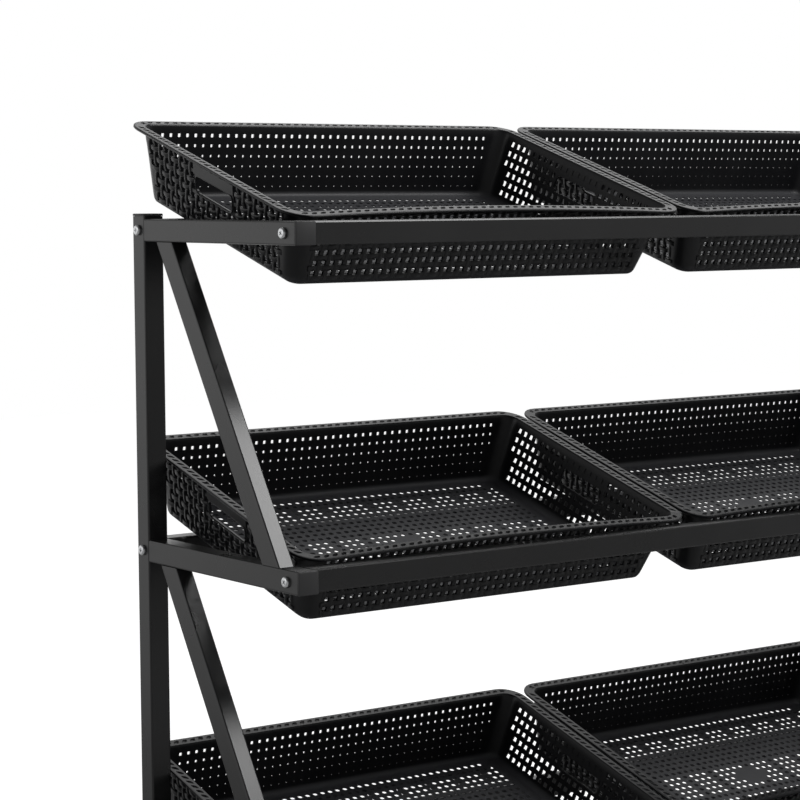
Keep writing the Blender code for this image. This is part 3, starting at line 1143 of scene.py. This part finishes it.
studio = {
    "floorSize": 14, "floorColour": (0.4, 0.4, 0.4, 1), "floorRoughness": 0.9,
    "floorGlow": 0.86,                         # as the camera sees it, less the shadow on it
    "glossyFloor": (0.1, 0.62),                # as glossy surfaces do, before the rack and behind
    "behindFloor": (0.6, 3.0),                 # where on the floor the one becomes the other
    "fill": 0.35,                              # the room's light from all sides
    "front": 0.34, "right": 0.14,              # the room before the rack, in glossy surfaces
    "above": 0.19,                             # and overhead
    "frontEdge": (-0.35, 0.25), "rightEdge": (0.5, 0.75), "aboveEdge": (0.1, 0.55),
    "lamps": (                                 # name, place, aimed at, width, height, watts
        ("softBox", (0.80, -1.30, 2.2), (-0.3, -0.1, 0.7), 0.9, 0.9, 26),
        ("rearPanel", (1.5, 1.6, 2.9), (0.0, 0.0, 0.6), 2.2, 2.2, 19),
        ("leftLamp", (-3.4, 0.9, 1.9), (0.0, 0.0, 0.7), 1.8, 1.8, 8),
    ),
}


def addLamp(name, place, aim, width, height, watts):
    data = bpy.data.lights.new(name, "AREA")
    data.shape = "RECTANGLE"
    data.size, data.size_y, data.energy = width, height, watts
    lamp = bpy.data.objects.new(name, data)
    lamp.location = place
    lamp.rotation_euler = (Vector(aim) - Vector(place)).to_track_quat("-Z", "Y").to_euler()
    bpy.context.scene.collection.objects.link(lamp)


# Masks of the camera's rays and the glossy ones, and of all that see the studio's brightness

def seenRays(shading):
    byCamera = shading.node("LightPath", output="Is Camera Ray")
    glossy = byCamera.out("Is Glossy Ray")
    clear = byCamera.out("Is Transmission Ray")
    return byCamera, glossy, (byCamera + glossy + clear).atMost(1.0)


# White behind the rack, darker behind the camera, and a low even light

def addWorld(look):
    world = bpy.data.worlds.new("studioWorld")
    bpy.context.scene.world = world
    world.use_nodes = True
    shading = Shading(world.node_tree)
    byCamera, glossy, seen = seenRays(shading)
    outward = shading.node("TexCoord", output="Generated")
    way = shading.node("SeparateXYZ", None, {"Vector": outward})
    inFront = look["front"] + look["right"] * way.out("X").above(*look["rightEdge"])
    behind = way.out("Y").above(*look["frontEdge"])
    overhead = way.out("Z").above(*look["aboveEdge"])
    shown = (behind + (1 - behind) * inFront) * (1 - overhead * (1 - look["above"]))
    background = world.node_tree.nodes["Background"]
    shading.plug(background.inputs["Color"], (1, 1, 1, 1))
    shading.plug(background.inputs["Strength"],
                 byCamera + glossy * shown + (1 - seen) * look["fill"])


# A floor that the camera sees as white, less the shadow on it

def addFloor(look):
    pickNone()
    bpy.ops.mesh.primitive_plane_add(size=look["floorSize"], location=(0, 0, 0))
    floor = bpy.context.object
    floor.name = "studioFloor"
    finish = Finish("paleFloor")
    glossy, seen = seenRays(finish)[1:]
    near, far = look["glossyFloor"]
    along = finish.node("SeparateXYZ", None, {"Vector": finish.place()}, "Y")
    level = near + along.above(*look["behindFloor"]) * (far - near)
    shown = (seen - glossy * (1 - level)).atLeast(0.0)
    finish.set({
        "Base Color": look["floorColour"],
        "Roughness": look["floorRoughness"],
        "Emission Color": finish.mix(shown, (0, 0, 0, 1), (1, 1, 1, 1)),
        "Emission Strength": look["floorGlow"],
    })
    floor.data.materials.append(finish.material)


addFloor(studio)
for lamp in studio["lamps"]:
    addLamp(*lamp)
addWorld(studio)
print("studio ready")
